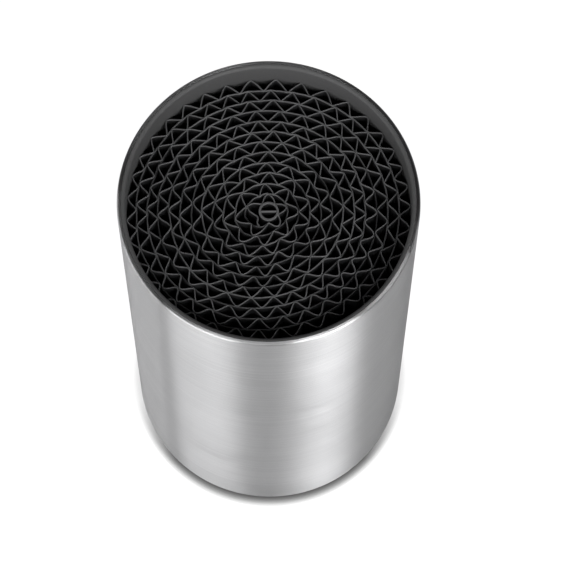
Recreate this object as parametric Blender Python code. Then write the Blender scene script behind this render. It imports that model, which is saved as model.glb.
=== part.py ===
"""Round universal knife block: a steel sleeve, a plastic liner cup and a lift-out spiral insert.

The block stands on +Z with its origin on the table, under the middle of the base. The insert is
rolled up from a flat strip and a fluted strip around a small core, and it lifts straight out.
All lengths are in metres.
"""

import math

import bmesh
import bpy
from mathutils import Matrix, Vector

# Whole block
BLOCK_DIAMETER = 0.116      # outside of the steel sleeve
BLOCK_HEIGHT = 0.225        # table to the top of the rolled rim
FIT_GAP = 0.0003            # between pieces that touch
ROUND_STEPS = 60            # sides of a large round piece
SMALL_STEPS = 20            # sides of a screw, foot, boss or core

# Steel sleeve
SHEET_THICKNESS = 0.0007    # sleeve wall
HEM_WIDTH = 0.00145         # across the rim, where the sheet is folded back inside
HEM_DEPTH = 0.005           # how far the fold runs down
SLEEVE_FOOT_RADIUS = 0.0014 # outer corner where the wall turns in to the flange
FLANGE_WIDTH = 0.0075       # turned-in bottom flange, from the outside of the wall

# Liner cup
LINER_WALL = 0.00145
LINER_FLOOR = 0.002
LIP_DROP = 0.0004           # liner lip below the top of the rim
LIP_RADIUS = 0.0011         # rounding of the lip's inner edge
MOUTH_DEPTH = 0.0116        # top of the rim to the top of the insert
BOSS_DIAMETER = 0.008

# Base plate, screws and feet
FOOT_STAND = 0.0008         # how far the feet stand out of the base plate
BASE_RIM_THICKNESS = 0.0012
BASE_SPIGOT_RISE = 0.0012   # step that centres the plate in the sleeve's flange
BASE_INSET = 0.0024         # edge of the plate inside the outside of the sleeve
BASE_HOLLOW = 0.0085        # base spigot to the underside of the liner's floor
SCREW_INSET = 0.0145        # middle of a screw inside the edge of the flange
SCREW_COUNT = 3
SCREW_THREAD = 0.003
SCREW_HEAD = 0.0056
SCREW_CLEARANCE = 0.00045   # round a screw in its hole
SCREW_END_GAP = 0.0015      # screw tip to the end of its pilot hole
DRIVE_SLOT = (0.0030, 0.0007, 0.0009)   # length, width and depth of the cross recess
FOOT_INSET = 0.0085         # middle of a foot inside the edge of the flange
FOOT_COUNT = 3
FOOT_DIAMETER = 0.011
FOOT_SINK = 0.0008          # depth of a foot's recess in the base plate

# Spiral insert
CORE_DIAMETER = 0.0078
CORE_WALL = 0.0009
CORE_WEB = 0.0009
STRIP_THICKNESS = 0.0005    # flat strip
FLUTE_THICKNESS = 0.0005    # fluted strip
TURN_PITCH = 0.0043         # from one turn of the roll to the next
FLUTE_LENGTH = 0.0085       # one full wave of the fluted strip
FIRST_ROOM = 0.0025         # least room between the core and the first turn
INSERT_CLEARANCE = 0.0004   # roll to liner wall
STEP_FROM = math.radians(310)    # direction in which each turn starts to step outward
STEP_ANGLE = math.radians(95)    # the step takes this much of a turn; the rest keeps its radius
CHORD = 0.005               # longest straight side of the flat strip's curve
TURN_STEP = math.radians(12)

# Sizes that follow from the ones above
SLEEVE_RADIUS = BLOCK_DIAMETER / 2
BASE_RIM_TOP = FOOT_STAND + BASE_RIM_THICKNESS
BASE_TOP = BASE_RIM_TOP + BASE_SPIGOT_RISE
FLANGE_BOTTOM = BASE_RIM_TOP + FIT_GAP
FLANGE_TOP = FLANGE_BOTTOM + SHEET_THICKNESS
FLANGE_RADIUS = SLEEVE_RADIUS - FLANGE_WIDTH
LINER_OUTER = SLEEVE_RADIUS - HEM_WIDTH - FIT_GAP
LINER_INNER = LINER_OUTER - LINER_WALL
LINER_TOP = BLOCK_HEIGHT - LIP_DROP
BOSS_BOTTOM = BASE_TOP + FIT_GAP
CUP_UNDERSIDE = BASE_TOP + BASE_HOLLOW
CUP_FLOOR = CUP_UNDERSIDE + LINER_FLOOR
INSERT_BOTTOM = CUP_FLOOR + FIT_GAP
INSERT_TOP = BLOCK_HEIGHT - MOUTH_DEPTH
INSERT_RADIUS = LINER_INNER - INSERT_CLEARANCE
CORE_RADIUS = CORE_DIAMETER / 2
ROLL_RADIUS = INSERT_RADIUS - STRIP_THICKNESS / 2
ROLL_TURNS = int((ROLL_RADIUS - CORE_RADIUS - FIRST_ROOM) / TURN_PITCH)
FULL_TURN = 2 * math.pi


def clear_scene():
    for item in list(bpy.data.objects):
        bpy.data.objects.remove(item, do_unlink=True)


def make_material(name, color, roughness, metallic=0.0):
    material = bpy.data.materials.new(name)
    material.use_nodes = True
    shader = material.node_tree.nodes["Principled BSDF"]
    shader.inputs["Base Color"].default_value = (*color, 1.0)
    shader.inputs["Roughness"].default_value = roughness
    shader.inputs["Metallic"].default_value = metallic
    return material


def add_object(name, bm, material, smooth_angle=30):
    """Turn a closed bmesh into a named object with outward faces, shaded smooth where it is round."""
    bmesh.ops.recalc_face_normals(bm, faces=bm.faces)
    mesh = bpy.data.meshes.new(name)
    bm.to_mesh(mesh)
    bm.free()
    if material:
        mesh.materials.append(material)
    mesh.shade_smooth()
    mesh.set_sharp_from_angle(angle=math.radians(smooth_angle))
    item = bpy.data.objects.new(name, mesh)
    bpy.context.scene.collection.objects.link(item)
    return item


def arc(center_r, center_z, radius, start, end, steps):
    """Points of a turned profile along an arc; angles in degrees, 0 outward and 90 up."""
    angles = [math.radians(start + (end - start) * i / steps) for i in range(steps + 1)]
    return [(center_r + radius * math.cos(a), center_z + radius * math.sin(a)) for a in angles]


def turned(profile, steps):
    """A closed profile of (radius, height) points turned once round the Z axis."""
    bm = bmesh.new()
    verts = [bm.verts.new((r, 0.0, z)) for r, z in profile]
    edges = [bm.edges.new((verts[i - 1], verts[i])) for i in range(len(verts))]
    bmesh.ops.spin(bm, geom=verts + edges, cent=(0, 0, 0), axis=(0, 0, 1), angle=FULL_TURN,
                   steps=steps, use_merge=True)
    bmesh.ops.remove_doubles(bm, verts=bm.verts, dist=1e-6)
    on_axis = [e for e in bm.edges if all(v.co.xy.length < 1e-6 for v in e.verts)]
    bmesh.ops.delete(bm, geom=on_axis, context="EDGES")
    return bm


def cylinder(radius, bottom, top, steps=SMALL_STEPS):
    """A plain upright cylinder on the Z axis."""
    bm = bmesh.new()
    place = Matrix.Translation((0, 0, (bottom + top) / 2))
    bmesh.ops.create_cone(bm, cap_ends=True, segments=steps, radius1=radius, radius2=radius,
                          depth=top - bottom, matrix=place)
    return bm


def box(size, center):
    bm = bmesh.new()
    place = Matrix.Translation(center) @ Matrix.Diagonal((*size, 1.0))
    bmesh.ops.create_cube(bm, size=1.0, matrix=place)
    return bm


def boolean(target, name, bm, operation):
    """Cut or join a helper shape; the helper stays as a hidden wire object."""
    helper = add_object(name, bm, None)
    helper.hide_render = True
    helper.display_type = "WIRE"
    modifier = target.modifiers.new(name, "BOOLEAN")
    modifier.object = helper
    modifier.operation = operation
    modifier.solver = "EXACT"
    return helper


def ring_places(count, inset, first_degrees):
    """Evenly spaced points on a circle that lies inset from the edge of the sleeve's flange."""
    for i in range(count):
        angle = math.radians(first_degrees) + FULL_TURN * i / count
        yield Vector((math.cos(angle), math.sin(angle), 0)) * (FLANGE_RADIUS - inset)


def screw_places():
    return ring_places(SCREW_COUNT, SCREW_INSET, 90)


def foot_places():
    return ring_places(FOOT_COUNT, FOOT_INSET, 90 + 180 / FOOT_COUNT)


def make_sleeve(material):
    """One sheet: rim folded back inside, straight wall, flange turned in at the bottom."""
    rim = HEM_WIDTH / 2
    hem_bottom = BLOCK_HEIGHT - rim - HEM_DEPTH
    wall_inside = SLEEVE_RADIUS - SHEET_THICKNESS
    corner = SLEEVE_FOOT_RADIUS
    profile = [(FLANGE_RADIUS, FLANGE_TOP), (FLANGE_RADIUS, FLANGE_BOTTOM)]
    profile += arc(SLEEVE_RADIUS - corner, FLANGE_BOTTOM + corner, corner, -90, 0, 4)
    profile += arc(SLEEVE_RADIUS - rim, BLOCK_HEIGHT - rim, rim, 0, 180, 8)
    profile += [(SLEEVE_RADIUS - HEM_WIDTH, hem_bottom), (wall_inside, hem_bottom)]
    profile += [(wall_inside, FLANGE_BOTTOM + corner), (SLEEVE_RADIUS - corner, FLANGE_TOP)]
    return add_object("outer_sleeve", turned(profile, ROUND_STEPS), material)


def make_liner(material):
    """Cup with a rounded lip, a skirt that stands on the sleeve's flange and bosses for the screws."""
    profile = [(0, CUP_FLOOR), (LINER_INNER, CUP_FLOOR)]
    profile += arc(LINER_INNER + LIP_RADIUS, LINER_TOP - LIP_RADIUS, LIP_RADIUS, 180, 90, 5)
    profile += [(LINER_OUTER, LINER_TOP), (LINER_OUTER, FLANGE_TOP + FIT_GAP)]
    profile += [(LINER_INNER, FLANGE_TOP + FIT_GAP), (LINER_INNER, CUP_UNDERSIDE)]
    profile += [(0, CUP_UNDERSIDE)]
    liner = add_object("liner_cup", turned(profile, ROUND_STEPS), material)
    overlap = LINER_FLOOR / 2
    for i, place in enumerate(screw_places(), start=1):
        boss = cylinder(BOSS_DIAMETER / 2, BOSS_BOTTOM, CUP_UNDERSIDE + overlap)
        boolean(liner, f"boss_{i}", boss, "UNION").location = place
        pilot = cylinder(SCREW_THREAD / 2 + FIT_GAP, BOSS_BOTTOM - overlap, CUP_UNDERSIDE)
        boolean(liner, f"pilot_{i}", pilot, "DIFFERENCE").location = place
    return liner


def screw_sizes(grow):
    """Radii of the head and the thread, made larger by grow, and the height of the head's cone."""
    head = SCREW_HEAD / 2
    thread = SCREW_THREAD / 2
    return head + grow, thread + grow, head - thread


def make_base_plate(material):
    """Disc with a centring spigot, countersunk screw holes and round recesses for the feet."""
    edge = SLEEVE_RADIUS - BASE_INSET
    spigot = FLANGE_RADIUS - FIT_GAP
    profile = [(0, BASE_TOP), (0, FOOT_STAND), (edge, FOOT_STAND), (edge, BASE_RIM_TOP)]
    profile += [(spigot, BASE_RIM_TOP), (spigot, BASE_TOP)]
    plate = add_object("base_plate", turned(profile, ROUND_STEPS), material)
    head, thread, cone = screw_sizes(SCREW_CLEARANCE)
    below = FOOT_STAND - BASE_RIM_THICKNESS
    above = BASE_TOP + BASE_RIM_THICKNESS
    hole = [(0, above), (0, below), (head, below), (head, FOOT_STAND)]
    hole += [(thread, FOOT_STAND + cone), (thread, above)]
    for i, place in enumerate(screw_places(), start=1):
        boolean(plate, f"screw_hole_{i}", turned(hole, SMALL_STEPS), "DIFFERENCE").location = place
    for i, place in enumerate(foot_places(), start=1):
        recess = cylinder(FOOT_DIAMETER / 2 + FIT_GAP, below, FOOT_STAND + FOOT_SINK)
        boolean(plate, f"foot_recess_{i}", recess, "DIFFERENCE").location = place
    return plate


def make_screws(material):
    """Countersunk screws from below, through the plate into the liner's bosses."""
    head, thread, cone = screw_sizes(0)
    tip = CUP_UNDERSIDE - SCREW_END_GAP
    profile = [(0, tip), (0, FOOT_STAND), (head, FOOT_STAND), (thread, FOOT_STAND + cone)]
    profile += [(thread, tip - thread), (thread / 2, tip)]
    length, width, depth = DRIVE_SLOT
    for i, place in enumerate(screw_places(), start=1):
        screw = add_object(f"base_screw_{i}", turned(profile, SMALL_STEPS), material)
        screw.location = place
        for name, size in (("a", (length, width)), ("b", (width, length))):
            slot = box((*size, 2 * depth), (0, 0, FOOT_STAND))
            boolean(screw, f"drive_{i}{name}", slot, "DIFFERENCE").location = place


def make_feet(material):
    """Soft round feet with a bevelled tread, set in the plate's recesses."""
    for i, place in enumerate(foot_places(), start=1):
        top = FOOT_STAND + FOOT_SINK - FIT_GAP
        foot = add_object(f"foot_pad_{i}", cylinder(FOOT_DIAMETER / 2, 0, top), material)
        foot.location = place
        bevel = foot.modifiers.new("edge", "BEVEL")
        bevel.width = FOOT_STAND / 3
        bevel.segments = 1
        bevel.limit_method = "ANGLE"


def roll_radius(turn_angle):
    """Centre line of the flat strip.

    The turn angle is 0 at the roll's outer end and falls inward. The springy turns lie in each other
    like rings, and each one steps in by the pitch over one short stretch.
    """
    turns_in = -turn_angle / FULL_TURN
    whole = math.floor(turns_in)
    ramp = max(0.0, 1 - (1 - (turns_in - whole)) * FULL_TURN / STEP_ANGLE)
    return ROLL_RADIUS - TURN_PITCH * (whole + ramp * ramp * (3 - 2 * ramp))


def roll_point(radius, turn_angle):
    """A plan point of the roll, which winds outward clockwise as seen from above."""
    direction = STEP_FROM - turn_angle
    return Vector((radius * math.cos(direction), radius * math.sin(direction), 0))


def ribbon(name, inner, outer, material):
    """A strip on edge: quads between two rows of plan points, extruded to the roll's height."""
    bm = bmesh.new()
    lift = Vector((0, 0, INSERT_BOTTOM))
    rows = [[bm.verts.new(point + lift) for point in row] for row in (inner, outer)]
    for i in range(len(inner) - 1):
        bm.faces.new((rows[0][i], rows[1][i], rows[1][i + 1], rows[0][i + 1]))
    grown = bmesh.ops.extrude_face_region(bm, geom=bm.faces[:])["geom"]
    raised = [v for v in grown if isinstance(v, bmesh.types.BMVert)]
    bmesh.ops.translate(bm, verts=raised, vec=(0, 0, INSERT_TOP - INSERT_BOTTOM))
    return add_object(name, bm, material)


def make_core(material):
    """Tube with one web across it, which the strips are wound on."""
    inside = CORE_RADIUS - CORE_WALL
    profile = [(CORE_RADIUS, INSERT_TOP), (inside, INSERT_TOP)]
    profile += [(inside, INSERT_BOTTOM), (CORE_RADIUS, INSERT_BOTTOM)]
    core = add_object("insert_core", turned(profile, SMALL_STEPS), material)
    height = INSERT_TOP - INSERT_BOTTOM
    web = box((2 * inside + CORE_WALL, CORE_WEB, height), (0, 0, INSERT_BOTTOM + height / 2))
    boolean(core, "core_web", web, "UNION")
    return core


def make_flat_strip(material):
    """The strip that keeps the turns apart, in short chords from its outer end in to the core.

    The outer turn of the roll has flutes only, so the flat strip starts one turn further in.
    """
    half = STRIP_THICKNESS / 2
    innermost = CORE_RADIUS + FIT_GAP + half
    inner, outer = [], []
    angle = -FULL_TURN - FLUTE_LENGTH / 2 / (ROLL_RADIUS - TURN_PITCH)
    radius = roll_radius(angle)
    while radius > innermost:
        inner.append(roll_point(radius - half, angle))
        outer.append(roll_point(radius + half, angle))
        angle -= min(TURN_STEP, CHORD / radius)
        radius = roll_radius(angle)
    return ribbon("flat_strip", inner, outer, material)


def flute_reach(room):
    """Centre-line height of a flute, and the radial half thickness of its slanting webs."""
    half_web = FLUTE_THICKNESS / 2
    reach = room
    for _ in range(30):
        radial_half = half_web * math.hypot(1.0, 2 * reach / FLUTE_LENGTH)
        reach = room - 2 * radial_half
    return reach, radial_half


def make_fluted_strip(material):
    """The zigzag strip round and between the flat turns, with evenly spaced ridges."""
    inner, outer = [], []
    half = STRIP_THICKNESS / 2
    angle = 0.0
    side = -1
    while angle > -(ROLL_TURNS + 1) * FULL_TURN + STEP_ANGLE:
        above = roll_radius(angle) + half
        if angle <= -FULL_TURN:
            above -= STRIP_THICKNESS + FIT_GAP
        below = max(roll_radius(angle - FULL_TURN) + half, CORE_RADIUS) + FIT_GAP
        reach, radial_half = flute_reach(above - below)
        middle = (above + below) / 2
        ridge = middle + side * reach / 2
        inner.append(roll_point(ridge - radial_half, angle))
        outer.append(roll_point(ridge + radial_half, angle))
        angle -= FLUTE_LENGTH / 2 / middle
        side = -side
    return ribbon("fluted_strip", inner, outer, material)


def make_block():
    clear_scene()
    steel = make_material("brushed_steel", (0.56, 0.56, 0.57), 0.32, 1.0)
    black = make_material("black_plastic", (0.02, 0.02, 0.021), 0.45)
    strip = make_material("strip_plastic", (0.045, 0.045, 0.047), 0.4)
    rubber = make_material("foot_rubber", (0.03, 0.03, 0.03), 0.85)
    zinc = make_material("screw_steel", (0.6, 0.6, 0.58), 0.35, 1.0)
    make_sleeve(steel)
    make_liner(black)
    make_base_plate(black)
    make_screws(zinc)
    make_feet(rubber)
    lift_axis = bpy.data.objects.new("insert_lift_axis", None)
    lift_axis.location = (0, 0, INSERT_BOTTOM)
    bpy.context.scene.collection.objects.link(lift_axis)
    for piece in (make_core(strip), make_flat_strip(strip), make_fluted_strip(strip)):
        piece.parent = lift_axis
        piece.matrix_parent_inverse = Matrix.Translation((0, 0, -INSERT_BOTTOM))


make_block()
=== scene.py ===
import math

import bpy
import numpy as np
from mathutils import Matrix, Vector


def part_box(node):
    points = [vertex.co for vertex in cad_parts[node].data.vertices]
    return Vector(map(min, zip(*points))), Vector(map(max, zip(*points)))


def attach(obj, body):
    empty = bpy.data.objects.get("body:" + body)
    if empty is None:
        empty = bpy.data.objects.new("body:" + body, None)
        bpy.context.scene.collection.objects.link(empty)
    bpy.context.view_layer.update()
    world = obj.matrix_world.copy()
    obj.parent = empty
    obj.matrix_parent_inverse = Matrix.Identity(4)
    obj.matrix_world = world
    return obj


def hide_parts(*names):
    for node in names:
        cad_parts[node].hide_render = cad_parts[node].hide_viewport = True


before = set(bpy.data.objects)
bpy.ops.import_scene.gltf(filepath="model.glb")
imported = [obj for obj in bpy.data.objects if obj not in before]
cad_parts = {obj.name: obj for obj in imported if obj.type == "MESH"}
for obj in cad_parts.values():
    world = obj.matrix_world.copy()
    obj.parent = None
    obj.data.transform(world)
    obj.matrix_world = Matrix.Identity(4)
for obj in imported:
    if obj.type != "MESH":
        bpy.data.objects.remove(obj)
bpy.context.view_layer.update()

print("stage 1: frame loaded,", len(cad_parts), "solids")

sleeveLow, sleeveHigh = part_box("outer_sleeve")
linerLow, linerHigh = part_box("liner_cup")
coreLow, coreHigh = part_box("insert_core")
blockRadius = (sleeveHigh.x - sleeveLow.x) / 2
blockTop = sleeveHigh.z
linerOuter = (linerHigh.x - linerLow.x) / 2
insertBottom, insertTop = coreLow.z, coreHigh.z
fullTurn = 2 * math.pi
longestSide = 0.012      # of a lathe's straight sides, before they get extra points


def meshPiece(name, points, faces, material, smoothAngle=35):
    # the points and faces as an object at the origin, shaded smooth but for edges above the angle
    mesh = bpy.data.meshes.new(name)
    mesh.from_pydata(points.tolist(), [], faces.tolist())
    mesh.validate()
    mesh.materials.append(material)
    mesh.shade_smooth()
    mesh.set_sharp_from_angle(angle=math.radians(smoothAngle))
    piece = bpy.data.objects.new(name, mesh)
    bpy.context.scene.collection.objects.link(piece)
    return piece


def gridFaces(rows, columns, closeRows, closeColumns):
    # quads of a grid of points numbered row by row; a closed direction wraps round to its start
    i = np.arange(rows if closeRows else rows - 1)[:, None]
    j = np.arange(columns if closeColumns else columns - 1)[None, :]
    i2, j2 = (i + 1) % rows, (j + 1) % columns
    quads = [i * columns + j, i * columns + j2, i2 * columns + j2, i2 * columns + j]
    return np.stack([q + 0 * (i + j) for q in quads], axis=-1).reshape(-1, 4)


def arcPoints(centerR, centerZ, radius, startDeg, endDeg, count):
    # (centre + radius cos a, centre + radius sin a), a evenly spaced; 0 is outward and 90 is up
    a = np.radians(np.linspace(startDeg, endDeg, count))
    return np.stack([centerR + radius * np.cos(a), centerZ + radius * np.sin(a)], axis=1)


def lathe(profile, segments, center=(0.0, 0.0)):
    # surface (r cos t, r sin t, z) with t round the axis and (r, z) along the closed profile
    profile = np.asarray(profile, float)
    t = np.arange(segments) / segments * fullTurn
    x = center[0] + np.cos(t)[:, None] * profile[None, :, 0]
    y = center[1] + np.sin(t)[:, None] * profile[None, :, 0]
    z = np.broadcast_to(profile[None, :, 1], x.shape)
    points = np.stack([x, y, z], axis=-1).reshape(-1, 3)
    return points, gridFaces(segments, len(profile), True, True)[:, ::-1]


def joined(parts):
    # several (points, faces) as one: each part's face numbers move on by the points before it
    points = np.concatenate([p for p, f in parts])
    starts = np.cumsum([0] + [len(p) for p, f in parts[:-1]])
    return points, np.concatenate([f + s for (p, f), s in zip(parts, starts)])


def subdivided(profile, longest):
    # the same outline with extra points on its long straight sides
    out = []
    for a, b in zip(profile, np.roll(profile, -1, axis=0)):
        count = max(1, int(np.ceil(np.linalg.norm(b - a) / longest)))
        out.append(a + (b - a) * (np.arange(count) / count)[:, None])
    return np.concatenate(out)


def newMaterial(name, color, roughness, metallic=0.0):
    # a Principled material with its plain values set
    material = bpy.data.materials.new(name)
    material.use_nodes = True
    shader = material.node_tree.nodes["Principled BSDF"]
    shader.inputs["Base Color"].default_value = (*color, 1)
    shader.inputs["Roughness"].default_value = roughness
    shader.inputs["Metallic"].default_value = metallic
    return material, material.node_tree, shader


def addNode(tree, kind, values=None, links=None, **settings):
    # a node with its settings made, its inputs set from values and joined to the sockets in links
    node = tree.nodes.new(kind)
    for key, value in settings.items():
        setattr(node, key, value)
    for key, value in (values or {}).items():
        node.inputs[key].default_value = value
    for key, socket in (links or {}).items():
        tree.links.new(socket, node.inputs[key])
    return node


def newGroup(name, inputs, outputs):
    # inputs and outputs are (name, socket type, start value)
    tree = bpy.data.node_groups.new(name, "ShaderNodeTree")
    for way, sockets in (("INPUT", inputs), ("OUTPUT", outputs)):
        for socketName, kind, start in sockets:
            made = tree.interface.new_socket(name=socketName, in_out=way, socket_type=kind)
            if start is not None:
                made.default_value = start
    return tree, tree.nodes.new("NodeGroupInput"), tree.nodes.new("NodeGroupOutput")


def useGroup(tree, group, values=None, links=None):
    return addNode(tree, "ShaderNodeGroup", values, links, node_tree=group)


def streakGroup():
    # noise drawn out round the axis: coordinates scaled little across and a lot in height
    tree, start, end = newGroup(
        "brushStreaks",
        [("Vector", "NodeSocketVector", None), ("Across", "NodeSocketFloat", 40.0),
         ("Height", "NodeSocketFloat", 5000.0), ("Detail", "NodeSocketFloat", 3.0)],
        [("Mask", "NodeSocketFloat", None)])
    scale = addNode(tree, "ShaderNodeCombineXYZ", links={
        "X": start.outputs["Across"], "Y": start.outputs["Across"], "Z": start.outputs["Height"]})
    spread = addNode(tree, "ShaderNodeVectorMath", operation="MULTIPLY",
                     links={0: start.outputs["Vector"], 1: scale.outputs["Vector"]})
    noise = addNode(tree, "ShaderNodeTexNoise", {"Scale": 1.0, "Roughness": 0.62},
                    {"Vector": spread.outputs["Vector"], "Detail": start.outputs["Detail"]})
    tree.links.new(noise.outputs["Fac"], end.inputs["Mask"])
    return tree


def mottleGroup():
    # soft cloudy variation between a low and a high value
    tree, start, end = newGroup(
        "softMottle",
        [("Vector", "NodeSocketVector", None), ("Scale", "NodeSocketFloat", 30.0),
         ("Low", "NodeSocketFloat", 0.0), ("High", "NodeSocketFloat", 1.0)],
        [("Value", "NodeSocketFloat", None)])
    noise = addNode(tree, "ShaderNodeTexNoise", {"Detail": 4.0, "Roughness": 0.55},
                    {"Vector": start.outputs["Vector"], "Scale": start.outputs["Scale"]})
    spread = addNode(tree, "ShaderNodeMapRange", {"From Min": 0.3, "From Max": 0.7},
                     {"Value": noise.outputs["Fac"], "To Min": start.outputs["Low"],
                      "To Max": start.outputs["High"]})
    tree.links.new(spread.outputs["Result"], end.inputs["Value"])
    return tree


def grainGroup():
    # fine spark-eroded grain of a moulded face, with sparse dust on top
    tree, start, end = newGroup(
        "mouldGrain",
        [("Vector", "NodeSocketVector", None), ("Grain Scale", "NodeSocketFloat", 2500.0),
         ("Dust Scale", "NodeSocketFloat", 900.0), ("Dust Amount", "NodeSocketFloat", 0.1)],
        [("Height", "NodeSocketFloat", None), ("Dust", "NodeSocketFloat", None)])
    grain = addNode(tree, "ShaderNodeTexVoronoi",
                    links={"Vector": start.outputs["Vector"], "Scale": start.outputs["Grain Scale"]})
    specks = addNode(tree, "ShaderNodeTexNoise", {"Detail": 2.0},
                     {"Vector": start.outputs["Vector"], "Scale": start.outputs["Dust Scale"]})
    few = addNode(tree, "ShaderNodeMapRange", {"From Min": 0.62, "From Max": 0.75},
                  {"Value": specks.outputs["Fac"], "To Max": start.outputs["Dust Amount"]})
    tree.links.new(grain.outputs["Distance"], end.inputs["Height"])
    tree.links.new(few.outputs["Result"], end.inputs["Dust"])
    return tree


def bandGroup():
    # 1 above one height of the object and 0 below another, ramped between them
    tree, start, end = newGroup(
        "heightBand",
        [("Vector", "NodeSocketVector", None), ("From", "NodeSocketFloat", 0.0),
         ("To", "NodeSocketFloat", 1.0)],
        [("Mask", "NodeSocketFloat", None)])
    parts = addNode(tree, "ShaderNodeSeparateXYZ", links={"Vector": start.outputs["Vector"]})
    ramp = addNode(tree, "ShaderNodeMapRange", links={
        "Value": parts.outputs["Z"], "From Min": start.outputs["From"],
        "From Max": start.outputs["To"]})
    tree.links.new(ramp.outputs["Result"], end.inputs["Mask"])
    return tree


streaks, mottle, grain, band = streakGroup(), mottleGroup(), grainGroup(), bandGroup()


def mixColors(tree, low, high, factor):
    # low where the factor is 0 and high where it is 1; low may be a colour or a socket
    node = addNode(tree, "ShaderNodeMix", data_type="RGBA")
    if isinstance(low, tuple):
        node.inputs["A"].default_value = (*low, 1)
    else:
        tree.links.new(low, node.inputs["A"])
    node.inputs["B"].default_value = (*high, 1)
    tree.links.new(factor, node.inputs["Factor"])
    return node.outputs["Result"]


def mixNumbers(tree, low, high, factor):
    # low, a socket, where the factor is 0 and the number high where it is 1
    node = addNode(tree, "ShaderNodeMix", data_type="FLOAT")
    tree.links.new(factor, node.inputs["Factor"])
    tree.links.new(low, node.inputs["A"])
    node.inputs["B"].default_value = high
    return node.outputs["Result"]


def addBump(tree, shader, height, distance):
    bump = addNode(tree, "ShaderNodeBump", {"Distance": distance, "Strength": 1.0}, {"Height": height})
    tree.links.new(bump.outputs["Normal"], shader.inputs["Normal"])


steelLook = {
    "dark": (0.49, 0.49, 0.50),
    "light": (0.63, 0.63, 0.635),
    "roughness": (0.34, 0.44),
    "streakAcross": 26.0,       # streaks a few centimetres long round the sleeve
    "streakHeight": 5200.0,     # and about a fifth of a millimetre tall
    "broadAcross": 9.0,         # longer and taller ones under them
    "broadHeight": 1600.0,
    "fineShare": 0.65,
    "broadShare": 0.35,
    "contrast": (0.38, 0.62),   # the part of the noise that runs from dark to light
    "smudgeScale": 18.0,
    "smudge": (-0.03, 0.05),    # added to the roughness
    "depth": 0.00002,
    "anisotropy": 1.0,
    "quarterTurn": 0.25,        # sets the stretched highlight upright, across the brushing
    "rimBand": 0.0012,          # the folded rim is smoother than the brushed wall
    "rimRoughness": 0.34,
    "footShadeBand": 0.0016,         # painted shade: the rolled foot is coloured dark, for the contact shadow it would mirror
    "footShadeColor": (0.16, 0.16, 0.165),
}


def steelMaterial():
    # streaks = fine and broad noise drawn out round the axis; they set colour, roughness and grooves
    look = steelLook
    material, tree, shader = newMaterial("brushed sleeve steel", look["dark"], 0.3, 1.0)
    place = addNode(tree, "ShaderNodeTexCoord").outputs["Object"]
    fine = useGroup(tree, streaks, {"Across": look["streakAcross"], "Height": look["streakHeight"]},
                    {"Vector": place})
    broad = useGroup(tree, streaks, {"Across": look["broadAcross"], "Height": look["broadHeight"],
                                     "Detail": 2.0}, {"Vector": place})
    share = addNode(tree, "ShaderNodeMath", {1: look["broadShare"]}, {0: broad.outputs["Mask"]},
                    operation="MULTIPLY")
    both = addNode(tree, "ShaderNodeMath", {1: look["fineShare"]},
                   {0: fine.outputs["Mask"], 2: share.outputs["Value"]}, operation="MULTIPLY_ADD")
    spread = addNode(tree, "ShaderNodeMapRange",
                     {"From Min": look["contrast"][0], "From Max": look["contrast"][1]},
                     {"Value": both.outputs["Value"]})
    color = mixColors(tree, look["dark"], look["light"], spread.outputs["Result"])
    # painted shade: over the foot band the colour darkens to the foot's dark colour, for the mirrored
    # contact shadow
    foot = useGroup(tree, band, {"From": sleeveLow.z + look["footShadeBand"],
                                 "To": sleeveLow.z + look["footShadeBand"] / 2}, {"Vector": place})
    footShaded = mixColors(tree, color, look["footShadeColor"], foot.outputs["Mask"])
    tree.links.new(footShaded, shader.inputs["Base Color"])
    smudge = useGroup(tree, mottle, {"Scale": look["smudgeScale"], "Low": look["smudge"][0],
                                     "High": look["smudge"][1]}, {"Vector": place})
    rough = addNode(tree, "ShaderNodeMapRange",
                    {"To Min": look["roughness"][0], "To Max": look["roughness"][1]},
                    {"Value": spread.outputs["Result"]})
    total = addNode(tree, "ShaderNodeMath", operation="ADD",
                    links={0: rough.outputs["Result"], 1: smudge.outputs["Value"]})
    rim = useGroup(tree, band, {"From": blockTop - look["rimBand"],
                                "To": blockTop - look["rimBand"] / 2}, {"Vector": place})
    drawn = mixNumbers(tree, total.outputs["Value"], look["rimRoughness"], rim.outputs["Mask"])
    tree.links.new(drawn, shader.inputs["Roughness"])
    shader.inputs["Anisotropic"].default_value = look["anisotropy"]
    shader.inputs["Anisotropic Rotation"].default_value = look["quarterTurn"]
    tangent = addNode(tree, "ShaderNodeTangent", direction_type="RADIAL", axis="Z")
    tree.links.new(tangent.outputs["Tangent"], shader.inputs["Tangent"])
    brushed = addNode(tree, "ShaderNodeMath", {1: -1.0, 2: 1.0}, {0: rim.outputs["Mask"]},
                      operation="MULTIPLY_ADD")     # no grooves on the rim
    grooves = addNode(tree, "ShaderNodeMath", operation="MULTIPLY",
                      links={0: brushed.outputs["Value"], 1: spread.outputs["Result"]})
    addBump(tree, shader, grooves.outputs["Value"], look["depth"])
    return material


plasticLooks = {
    # colour, colour of the dust, roughness from and to, grain per metre, depth of the grain
    "liner plastic": ((0.088, 0.088, 0.089), (0.25, 0.25, 0.25), (0.55, 0.68), 1800.0, 0.00003),
    "base plastic": ((0.03, 0.03, 0.031), (0.25, 0.25, 0.25), (0.45, 0.6), 1500.0, 0.00003),
    "foot rubber": ((0.025, 0.025, 0.026), (0.18, 0.18, 0.17), (0.75, 0.9), 1200.0, 0.00004),
    "screw zinc": ((0.62, 0.62, 0.60), (0.4, 0.4, 0.38), (0.25, 0.4), 2200.0, 0.00001),
    "strip plastic": ((0.020, 0.020, 0.021), (0.2, 0.2, 0.2), (0.34, 0.5), 3500.0, 0.00001),
}
cloudScale = 45.0        # of the plastics' uneven gloss


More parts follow.
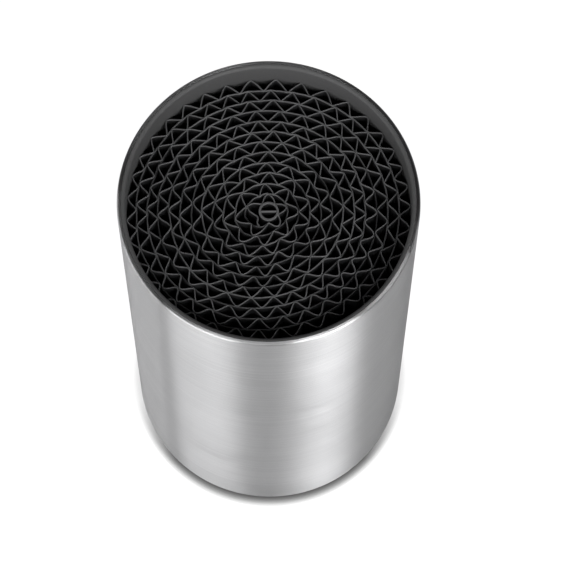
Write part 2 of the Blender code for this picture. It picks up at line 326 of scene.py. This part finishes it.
def grainedMaterial(name, metallic=0.0):
    # cloudy gloss, a fine grain in the bump and a little pale dust in the colour
    color, dusty, roughness, grainScale, depth = plasticLooks[name]
    material, tree, shader = newMaterial(name, color, roughness[0], metallic)
    place = addNode(tree, "ShaderNodeTexCoord").outputs["Object"]
    surface = useGroup(tree, grain, {"Grain Scale": grainScale}, {"Vector": place})
    tint = mixColors(tree, color, dusty, surface.outputs["Dust"])
    tree.links.new(tint, shader.inputs["Base Color"])
    gloss = useGroup(tree, mottle, {"Scale": cloudScale, "Low": roughness[0], "High": roughness[1]},
                     {"Vector": place})
    tree.links.new(gloss.outputs["Value"], shader.inputs["Roughness"])
    addBump(tree, shader, surface.outputs["Height"], depth)
    return material


stripTopHighlight = {
    "color": (0.135, 0.135, 0.138),   # painted highlight: the top edges are lighter than the walls, as lit edges over the shaded cells
    "depth": 0.0009,
}


def stripMaterial():
    # the grained plastic, mixed with a painted highlight colour by a ramp up to the top of the insert
    material = grainedMaterial("strip plastic")
    tree = material.node_tree
    baseColor = tree.nodes["Principled BSDF"].inputs["Base Color"]
    place = addNode(tree, "ShaderNodeTexCoord").outputs["Object"]
    edge = useGroup(tree, band, {"From": insertTop - stripTopHighlight["depth"], "To": insertTop},
                    {"Vector": place})
    topHighlighted = mixColors(tree, baseColor.links[0].from_socket, stripTopHighlight["color"], edge.outputs["Mask"])
    tree.links.new(topHighlighted, baseColor)
    return material


steel = steelMaterial()
linerPlastic = grainedMaterial("liner plastic")
basePlastic = grainedMaterial("base plastic")
footRubber = grainedMaterial("foot rubber")
screwSteel = grainedMaterial("screw zinc", 1.0)
stripPlastic = stripMaterial()
print("stage 2: materials made")


sleeveSizes = {
    "rimWidth": 0.00145,
    "rimDepth": 0.005,
    "outerEdge": 0.0011,      # the fold is round outside and sharper inside
    "topLean": 76.0,          # its top falls outward, so the arc stops short of upright
    "sheet": 0.0007,
    "footRadius": 0.0014,
    "flange": 0.0075,
    "footSteps": 9,           # points of the foot's round, outside and inside
    "footStepsInside": 5,
    "rimSteps": 17,
    "segments": 360,
}


def makeSleeve():
    # profile of one sheet: flange, rounded foot, straight wall, half-round rim and the fold inside
    s = sleeveSizes
    bottom = sleeveLow.z
    inside = blockRadius - s["sheet"]
    corner = s["footRadius"]
    flangeIn = blockRadius - s["flange"]
    foldRadius = blockRadius - s["rimWidth"]
    foldEnd = blockTop - s["rimWidth"] / 2 - s["rimDepth"]
    lean = math.radians(90 - s["topLean"])
    flat = s["rimWidth"] - s["outerEdge"] + s["outerEdge"] * math.sin(lean)
    shoulder = blockTop - s["outerEdge"] * math.cos(lean) - flat * math.tan(lean)
    profile = np.concatenate([
        [(flangeIn, bottom + s["sheet"]), (flangeIn, bottom)],
        arcPoints(blockRadius - corner, bottom + corner, corner, -90, 0, s["footSteps"]),
        arcPoints(blockRadius - s["outerEdge"], shoulder, s["outerEdge"], 0, s["topLean"], s["rimSteps"]),
        [(foldRadius, blockTop), (foldRadius, foldEnd), (inside, foldEnd)],
        arcPoints(blockRadius - corner, bottom + corner, corner - s["sheet"], 0, -90,
                  s["footStepsInside"]),
    ])
    points, faces = lathe(subdivided(profile, longestSide), s["segments"])
    piece = meshPiece("sleeve_shell", points, faces, steel)
    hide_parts("outer_sleeve")
    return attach(piece, "block")


linerSizes = {
    "wall": 0.00145,
    "floor": 0.002,
    "gap": 0.0003,            # to the flange below and to the insert on its floor
    "lipHeight": 0.0014,
    "lipDrop": 0.0001,        # the lip ends just under the rim
    "lipFlare": 0.00025,      # and spreads to close the gap to the folded sheet
    "lipSteps": 14,
    "lipEdge": 0.0001,        # a tiny chamfer at the lip's outer edge
    "flareEnd": (0.0008, 0.0012),   # below the lip: the flare ends, and the plain wall starts
    "floorCorner": 0.0002,
    "pinhole": 0.00001,       # radius at the axis, where the floor's profile closes
    "bossRadius": 0.004,
    "bossHole": 0.0018,
    "bossInset": 0.0145,
    "bosses": 3,
    "firstBoss": 90,          # direction of the first, degrees
    "bossSegments": 32,
    "segments": 240,
}


def makeLiner():
    # profile round the cup: floor, wall, quarter-ellipse lip, flared edge, skirt and underside;
    # each boss is a tube under the floor
    s = linerSizes
    inner = linerOuter - s["wall"]
    top, skirt = blockTop - s["lipDrop"], sleeveLow.z + sleeveSizes["sheet"] + s["gap"]
    floorTop = insertBottom - s["gap"]
    underside = floorTop - s["floor"]
    corner, axis = s["floorCorner"], s["pinhole"]
    flare = linerOuter + s["lipFlare"]
    flareLow, wallHigh = (top - drop for drop in s["flareEnd"])
    lipWidth = s["wall"] + s["lipFlare"] - s["lipEdge"]
    turn = np.radians(np.linspace(180, 90, s["lipSteps"]))
    lip = np.stack([inner + lipWidth * (1 + np.cos(turn)),
                    top - s["lipHeight"] * (1 - np.sin(turn))], axis=1)
    profile = np.concatenate([
        [(axis, floorTop), (inner - corner, floorTop), (inner, floorTop + corner)],
        lip,
        [(flare, top - s["lipEdge"]), (flare, flareLow), (linerOuter, wallHigh), (linerOuter, skirt),
         (inner, skirt), (inner, underside), (axis, underside)],
    ])[::-1]
    parts = [lathe(subdivided(profile, longestSide), s["segments"])]
    circle = blockRadius - sleeveSizes["flange"] - s["bossInset"]
    for i in range(s["bosses"]):
        a = math.radians(s["firstBoss"] + 360 / s["bosses"] * i)
        tube = [(s["bossRadius"], linerLow.z), (s["bossRadius"], underside),
                (s["bossHole"], underside), (s["bossHole"], linerLow.z)]
        parts.append(lathe(tube, s["bossSegments"], (circle * math.cos(a), circle * math.sin(a))))
    points, faces = joined(parts)
    piece = meshPiece("liner_shell", points, faces, linerPlastic)
    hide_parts("liner_cup")
    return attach(piece, "block")


rollSizes = {
    "outerRadius": 0.05415,      # centre line of the outer ridges
    "ridgeReach": 0.00025,       # which spring out a little further, to the cup's wall
    "pitch": 0.0043,
    "stepFrom": 310.0,           # direction where each turn starts to step outward
    "stepAngle": 95.0,
    "lastStep": 0.75,            # the part of its last step that the fluted strip leaves out
    "fluteLength": 0.0085,
    "fluteUneven": (0.14, 0.12),     # how far slow and quick noise shorten and lengthen the flutes
    "stripThickness": 0.00056,
    "fluteThickness": 0.00048,
    "ridgeTouch": 0.85,          # 1 where ridges just meet the flat strip, less where they press in
    "inset": 0.0004,             # the turns under the outer one lie a little further in
    "bulge": 0.0018,             # and bulge to one side
    "bulgeFade": 0.55,           # by so much less at the outside than at the core
    "bulgeToward": 187.0,
    "looseToward": (215.0, 340.0),   # where the roll is least tidy
    "looseDrop": 0.0011,         # and the flat strip sits lower
    "ridgeFlat": 0.55,
    "looseFlat": 0.9,
    "crowding": 0.35,            # flutes get shorter close to the core
    "crowdingReach": 0.004,
    "waveGain": 1.05,            # the wave runs a little past 1 at its ridges
    "bend": 0.00024,             # of the flat strip over ridges
    "sway": 0.00018,             # of the flat strip anywhere
    "swayAtBulge": 1.6,          # so many times more where the roll bulges
    "outerTurn": (0.74, 1.0),    # in turns, where the unevenness sets in under the outer turn
    "topUneven": 0.00012,        # of the cut top edges
    "edgeRound": 0.7,            # height of the rounded edges over half the thickness
    "coreRadius": 0.0039,
    "coreRoom": 0.0012,          # least distance of a flute's middle from the core
    "flatToCore": 0.6,           # from the core to the flat strip's inner end, in its thicknesses
    "fluteToCore": 0.4,          # and to the flutes' inner ridges
    "turns": 11,
    "tableTurns": 12.2,          # the table and the search for the inner end run past the last turn
    "tableSteps": 60001,
    "searchSteps": 90000,
    "pathStep": 0.0007,          # between points along the flat strip
    "pointsPerFlute": 14,
    "edgeSteps": 7,
    "smoothBelow": 60,           # edges flatter than this, in degrees, are shaded smooth
    "seed": 7,
}

rollNoise = {
    # period in radians, seed counted from the roll's own
    "fluteSlow": (0.5, 0),
    "fluteQuick": (0.13, 1),
    "bend": (0.9, 2),
    "sway": (0.22, 3),
    "flatTop": (0.3, 5),
    "flutedTop": (0.2, 6),
    "loose": (0.7, 8),
}
noiseValues = 4096


def smoothStep(x):
    # 3 x squared less 2 x cubed: from 0 to 1, level at both ends
    return x * x * (3 - 2 * x)


def smoothNoise(angle, kind):
    # cubic blend between random values from -1 to 1 that lie one period apart
    period, seed = rollNoise[kind]
    values = np.random.default_rng(rollSizes["seed"] + seed).uniform(-1, 1, noiseValues)
    at = angle / period + noiseValues // 2
    whole = np.floor(at).astype(int)
    blend = smoothStep(at - whole)
    return values[whole % noiseValues] * (1 - blend) + values[(whole + 1) % noiseValues] * blend


def evenRadius(angle):
    # nested turns: the radius is constant but for a smooth step of one pitch in each turn
    s = rollSizes
    turnsIn = -angle / fullTurn
    whole = np.floor(turnsIn)
    step = math.radians(s["stepAngle"]) / fullTurn
    ramp = np.clip(1 - (1 - (turnsIn - whole)) / step, 0, 1)
    return s["outerRadius"] - s["pitch"] * (whole + smoothStep(ramp))


def countFlutes():
    # running sum of (arc length x crowding / flute length) along the roll, from its outer end inward
    s = rollSizes
    angle = np.linspace(0, s["tableTurns"] * fullTurn, s["tableSteps"])
    middle = np.maximum(evenRadius(-angle) - s["pitch"] / 2, s["coreRadius"] + s["coreRoom"])
    slow, quick = s["fluteUneven"]
    crowding = (1 + slow * smoothNoise(angle, "fluteSlow") + quick * smoothNoise(angle, "fluteQuick")
                + s["crowding"] * np.exp((s["coreRadius"] - middle) / s["crowdingReach"]))
    return angle, np.cumsum(middle * crowding) * (angle[1] - angle[0]) / s["fluteLength"]


tableAngle, tableFlutes = countFlutes()


def flutePhase(angle):
    # number of flutes from the outer end to the angle, read from the table
    return np.interp(-angle, tableAngle, tableFlutes)


def facing(angle, direction):
    # cosine of the angle between a point of the roll and a direction in degrees, 0 on the far half
    return np.clip(np.cos(math.radians(rollSizes["stepFrom"] - direction) - angle), 0, 1)


def looseness(angle):
    # 1 where the flat strip sits low and the flutes are squashed, 0 where the roll is tidy
    sides = [facing(angle, side) for side in rollSizes["looseToward"]]
    return np.maximum(*sides) * (0.5 + 0.5 * smoothNoise(angle, "loose"))


def fluteWave(angle):
    # sum of three harmonics of a triangle wave, steepened and flattened at its ridges by a tanh
    x = fullTurn * flutePhase(angle)
    triangle = (np.sin(x) - np.sin(3 * x) / 9 + np.sin(5 * x) / 25) * rollSizes["waveGain"]
    steep = rollSizes["ridgeFlat"] + rollSizes["looseFlat"] * looseness(angle)
    return np.tanh(steep * triangle) / np.tanh(steep)


def flatRadius(angle):
    # the even radius, plus a bend out over a ridge inside and in under a ridge outside, a sway,
    # the inset, and the bulge, all growing from 0 under the outer turn
    s = rollSizes
    uneven = 0.5 + 0.5 * smoothNoise(angle, "bend")
    below = np.clip(fluteWave(angle), 0, 1) ** 2
    above = np.clip(-fluteWave(angle + fullTurn), 0, 1) ** 2 * (angle < -fullTurn)
    first, full = s["outerTurn"]
    inner = np.clip((-angle / fullTurn - first) / (full - first), 0, 1)
    bend = s["bend"] * uneven * (below - above)
    even = evenRadius(angle)
    toward = facing(angle, s["bulgeToward"]) ** 2
    sway = s["sway"] * (1 + s["swayAtBulge"] * toward) * smoothNoise(angle, "sway")
    side = toward * s["bulge"] * (1 - s["bulgeFade"] * even / s["outerRadius"])
    return even + inner * (bend + sway + s["inset"] + side)


def rollPoint(radius, angle):
    # (radius cos d, radius sin d) with d = first direction less the angle: inward is anticlockwise
    direction = math.radians(rollSizes["stepFrom"]) - angle
    return np.stack([radius * np.cos(direction), radius * np.sin(direction)], axis=-1)


def stripOnEdge(path, thickness, topDrop):
    # a strip carried along a plan path: half-ellipse top and bottom edges, flat sides, flat ends;
    # its top lies lower by topDrop
    along = np.gradient(path, axis=0)
    along /= np.linalg.norm(along, axis=1, keepdims=True)
    across = np.stack([-along[:, 1], along[:, 0]], axis=1)
    half = thickness / 2
    rise = half * rollSizes["edgeRound"]
    a = np.radians(np.linspace(0, 180, rollSizes["edgeSteps"]))
    top = np.stack([half * np.cos(a), rise * np.sin(a)], axis=1)
    section = np.concatenate([top + [0, insertTop - rise], -top + [0, insertBottom + rise]])
    upper = section[:, 1] > (insertTop + insertBottom) / 2
    xy = path[:, None, :] + across[:, None, :] * section[None, :, :1]
    z = section[None, :, 1] - topDrop[:, None] * upper[None, :]
    points = np.concatenate([xy, z[..., None]], axis=-1).reshape(-1, 3)
    count = len(section)
    faces = gridFaces(len(path), count, False, True)
    left, right = np.arange(count // 2), np.arange(count - 1, count // 2 - 1, -1)
    cap = np.stack([left[:-1], left[1:], right[1:], right[:-1]], axis=1)
    return points, np.concatenate([faces, cap[:, ::-1], cap + (len(path) - 1) * count])


def makeFlatStrip():
    # the flat radius along the angle, from inside the outer flutes to the core, in even steps of length
    s = rollSizes
    innermost = s["coreRadius"] + s["stripThickness"] * s["flatToCore"]
    start = fullTurn + s["fluteLength"] / 2 / (s["outerRadius"] - s["pitch"])
    angle = -np.linspace(start, s["tableTurns"] * fullTurn, s["searchSteps"])
    radius = flatRadius(angle)
    inside = np.argmax(radius < innermost)
    angle, radius = angle[:inside], radius[:inside]
    steps = np.hypot(np.diff(radius), radius[1:] * np.diff(angle))
    length = np.concatenate([[0], np.cumsum(steps)])
    wanted = np.linspace(0, length[-1], int(length[-1] / s["pathStep"]))
    angle = np.interp(wanted, length, angle)
    topDrop = s["topUneven"] * (1 + smoothNoise(angle, "flatTop")) + s["looseDrop"] * looseness(angle)
    path = rollPoint(flatRadius(angle), angle)
    points, faces = stripOnEdge(path, s["stripThickness"], topDrop)
    piece = meshPiece("roll_flat_strip", points, faces, stripPlastic, s["smoothBelow"])
    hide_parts("flat_strip")
    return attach(piece, "insert")


def makeFlutedStrip():
    # radius = middle + half the room x wave, between the flat turn outside it and the one inside it
    s = rollSizes
    last = (s["turns"] + 1) * fullTurn - math.radians(s["stepAngle"]) * s["lastStep"]
    wanted = np.arange(0, flutePhase(-last), 1 / s["pointsPerFlute"])
    angle = -np.interp(wanted, tableFlutes, tableAngle)
    half = (s["stripThickness"] + s["fluteThickness"]) / 2 * s["ridgeTouch"]
    outerRidge = evenRadius(angle) + s["ridgeReach"]
    above = np.where(angle > -fullTurn, outerRidge, flatRadius(angle) - half)
    core = s["coreRadius"] + s["fluteThickness"] * s["fluteToCore"]
    below = np.maximum(flatRadius(angle - fullTurn) + half, core)
    radius = (above + below) / 2 + (above - below) / 2 * fluteWave(angle)
    topDrop = s["topUneven"] * (1 + smoothNoise(angle, "flutedTop"))
    path = rollPoint(radius, angle)
    points, faces = stripOnEdge(path, s["fluteThickness"], topDrop)
    piece = meshPiece("roll_fluted_strip", points, faces, stripPlastic, s["smoothBelow"])
    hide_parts("fluted_strip")
    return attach(piece, "insert")


coreSizes = {
    "wall": 0.0009,
    "soft": 0.00015,         # radius of its top edges
    "softSteps": 4,
    "longestSide": 0.02,
    "segments": 64,
    "webReach": 0.0002,      # the web runs into the wall
    "webDrop": 0.0001,       # and its top lies a little lower
    "webSteps": 24,
    "smoothBelow": 50,
}


def makeCore():
    # a tube with softened top edges, and a straight web across it
    s = coreSizes
    outer = rollSizes["coreRadius"]
    inner, soft = outer - s["wall"], s["soft"]
    profile = np.concatenate([
        arcPoints(inner + soft, insertTop - soft, soft, 180, 90, s["softSteps"]),
        arcPoints(outer - soft, insertTop - soft, soft, 90, 0, s["softSteps"]),
        [(outer, insertBottom), (inner, insertBottom)]])[::-1]
    tube = lathe(subdivided(profile, s["longestSide"]), s["segments"])
    reach, steps = inner + s["webReach"], s["webSteps"]
    path = np.stack([np.linspace(-reach, reach, steps), np.zeros(steps)], axis=1)
    web = stripOnEdge(path, s["wall"], np.full(steps, s["webDrop"]))
    points, faces = joined([tube, web])
    piece = meshPiece("roll_core", points, faces, stripPlastic, s["smoothBelow"])
    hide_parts("insert_core")
    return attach(piece, "insert")


makeSleeve()
makeLiner()
print("stage 3: sleeve and liner made")
makeFlatStrip()
makeFlutedStrip()
makeCore()
print("stage 4: insert made")


undersideMaterials = {"base_screw": screwSteel, "foot_pad": footRubber, "base_plate": basePlastic}
for nodeName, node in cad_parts.items():
    for start, material in undersideMaterials.items():
        if nodeName.startswith(start):
            node.data.materials.clear()
            node.data.materials.append(material)


cameraSetup = {
    "elevation": 69.8,     # of the camera above the rim's plane, degrees
    "distance": 20.65,     # from the middle of the rim, in block radii
    "pitch": 71.43,        # below level
    "turn": 1.19,          # to the right
    "roll": -0.76,
    "lens": 194.8,
    "sensor": 36.0,
    "nearest": 0.01,
}


def addCamera():
    # eye = rim's centre + distance toward the front and up; its axes come from pitch, turn and roll
    c = cameraSetup
    e, p, t, roll = (math.radians(c[k]) for k in ("elevation", "pitch", "turn", "roll"))
    rimCentre = Vector((0, 0, blockTop))
    eye = rimCentre + Vector((0, -math.cos(e), math.sin(e))) * c["distance"] * blockRadius
    ahead = Vector((math.sin(t) * math.cos(p), math.cos(t) * math.cos(p), -math.sin(p)))
    right = ahead.cross(Vector((0, 0, 1))).normalized()
    up = right.cross(ahead)
    right, up = (right * math.cos(roll) - up * math.sin(roll),
                 right * math.sin(roll) + up * math.cos(roll))
    data = bpy.data.cameras.new("camera")
    data.lens = c["lens"]
    data.sensor_width = c["sensor"]
    data.clip_start = c["nearest"]
    camera = bpy.data.objects.new("camera", data)
    camera.matrix_world = Matrix((
        (right.x, up.x, -ahead.x, eye.x), (right.y, up.y, -ahead.y, eye.y),
        (right.z, up.z, -ahead.z, eye.z), (0, 0, 0, 1)))
    bpy.context.scene.collection.objects.link(camera)
    bpy.context.scene.camera = camera


lightSetup = {
    # name: azimuth from the front (to the right), elevation, distance, width, height, power
    "rightBox": (35, 9, 0.8, 0.36, 0.45, 1.15),
    "rightEdge": (96, 8, 0.8, 0.12, 0.40, 0.12),
    "rightHigh": (78, 55, 0.9, 0.34, 0.16, 0.85),
    "leftBox": (-36, 14, 0.8, 0.54, 0.55, 3.0),
    "leftWide": (-74, 6, 0.8, 0.42, 0.32, 1.15),
    "leftEdge": (-100, 6, 0.8, 0.35, 0.32, 0.65),
    "frontHigh": (-6, 53, 0.9, 0.70, 0.18, 2.0),
    "keyBox": (30, 38, 0.9, 0.40, 0.32, 3.3),
}


aimHeight = 0.6      # of the block's height, where every lamp points


def addLights():
    # each lamp lies on a sphere round the aim, at its azimuth and elevation, and faces the aim
    aim = Vector((0, 0, blockTop * aimHeight))
    for name, (azimuth, elevation, distance, width, height, power) in lightSetup.items():
        data = bpy.data.lights.new(name, "AREA")
        data.shape = "RECTANGLE"
        data.size, data.size_y, data.energy = width, height, power
        lamp = bpy.data.objects.new(name, data)
        a, e = math.radians(azimuth), math.radians(elevation)
        away = Vector((math.sin(a) * math.cos(e), -math.cos(a) * math.cos(e), math.sin(e)))
        lamp.location = aim + away * distance
        lamp.rotation_euler = away.to_track_quat("Z", "Y").to_euler()
        bpy.context.scene.collection.objects.link(lamp)


worldLook = {
    "seen": 0.98,            # the backdrop for the camera
    "sides": 0.07,           # grey level of the studio's walls
    "above": 0.035,          # and of its ceiling, which the rim mirrors
    "ceiling": (0.3, 0.8),   # the grey goes from one to the other between these heights, as sines
}


def addWorld():
    # an even backdrop for the camera, and a dim room, darker above, for all that is lit or mirrored
    world = bpy.data.worlds.new("studio")
    world.use_nodes = True
    tree = world.node_tree
    tree.nodes.clear()
    seen = addNode(tree, "ShaderNodeBackground", {"Color": (worldLook["seen"],) * 3 + (1,)})
    fill = addNode(tree, "ShaderNodeBackground")
    way = addNode(tree, "ShaderNodeSeparateXYZ", links={
        "Vector": addNode(tree, "ShaderNodeTexCoord").outputs["Generated"]})
    low, high = worldLook["ceiling"]
    level = addNode(tree, "ShaderNodeMapRange", {
        "From Min": low, "From Max": high, "To Min": worldLook["sides"], "To Max": worldLook["above"]},
        {"Value": way.outputs["Z"]})
    tree.links.new(level.outputs["Result"], fill.inputs["Strength"])
    path = addNode(tree, "ShaderNodeLightPath")
    mix = addNode(tree, "ShaderNodeMixShader", links={
        "Fac": path.outputs["Is Camera Ray"], 1: fill.outputs["Background"],
        2: seen.outputs["Background"]})
    addNode(tree, "ShaderNodeOutputWorld", links={"Surface": mix.outputs["Shader"]})
    bpy.context.scene.world = world


floorLook = {
    "albedo": 0.08,
    "roughness": 0.9,
    "halfSize": 1.5,
    "drop": 0.0001,        # keeps the floor clear of the feet's flat undersides
    "seenGlow": 1.0,       # brightness of the floor for the camera
    "mirrorGlow": 0.43,    # and for what the steel sees of it
    "contact": 0.005,      # reach of the contact shadow, metres
    "mirrorContact": 0.05,
    "shadowFrom": -0.040,  # the shadow is full in front of here
    "shadowTo": -0.012,    # and mostly filled in by stray light behind here
    "behind": 0.7,
    "darkness": (4.0, 1.2),     # for the camera, for the steel
}


def addFloor():
    # the floor glows evenly but for a contact shadow: openness to the air, raised to a power
    look = floorLook
    material, tree, shader = newMaterial("pale floor", (look["albedo"],) * 3, look["roughness"])
    path = addNode(tree, "ShaderNodeLightPath")
    near = addNode(tree, "ShaderNodeAmbientOcclusion", {"Distance": look["contact"]}, samples=16)
    far = addNode(tree, "ShaderNodeAmbientOcclusion", {"Distance": look["mirrorContact"]}, samples=8)
    place = addNode(tree, "ShaderNodeTexCoord").outputs["Object"]
    spot = addNode(tree, "ShaderNodeSeparateXYZ", links={"Vector": place})
    behind = addNode(tree, "ShaderNodeMapRange", {
        "From Min": look["shadowFrom"], "From Max": look["shadowTo"], "To Max": look["behind"]},
        {"Value": spot.outputs["Y"]})
    glows = []
    for openness, strength, power in ((near, look["seenGlow"], look["darkness"][0]),
                                      (far, look["mirrorGlow"], look["darkness"][1])):
        deeper = addNode(tree, "ShaderNodeMath", {1: power}, {0: openness.outputs["AO"]},
                         operation="POWER")
        lifted = mixNumbers(tree, deeper.outputs["Value"], 1.0, behind.outputs["Result"])
        glows.append(addNode(tree, "ShaderNodeMath", {1: strength}, {0: lifted}, operation="MULTIPLY"))
    choice = addNode(tree, "ShaderNodeMix", data_type="FLOAT", links={
        "Factor": path.outputs["Is Camera Ray"], "A": glows[1].outputs["Value"],
        "B": glows[0].outputs["Value"]})
    shader.inputs["Emission Color"].default_value = (1, 1, 1, 1)
    tree.links.new(choice.outputs["Result"], shader.inputs["Emission Strength"])
    size, low = look["halfSize"], -look["drop"]
    points = np.array([(-size, -size, low), (size, -size, low), (size, size, low), (-size, size, low)])
    floor = meshPiece("floor", points, np.array([[0, 1, 2, 3]]), material)


addCamera()
addLights()
addWorld()
addFloor()
bpy.context.scene.view_settings.view_transform = "Standard"
print("stage 5: studio made")
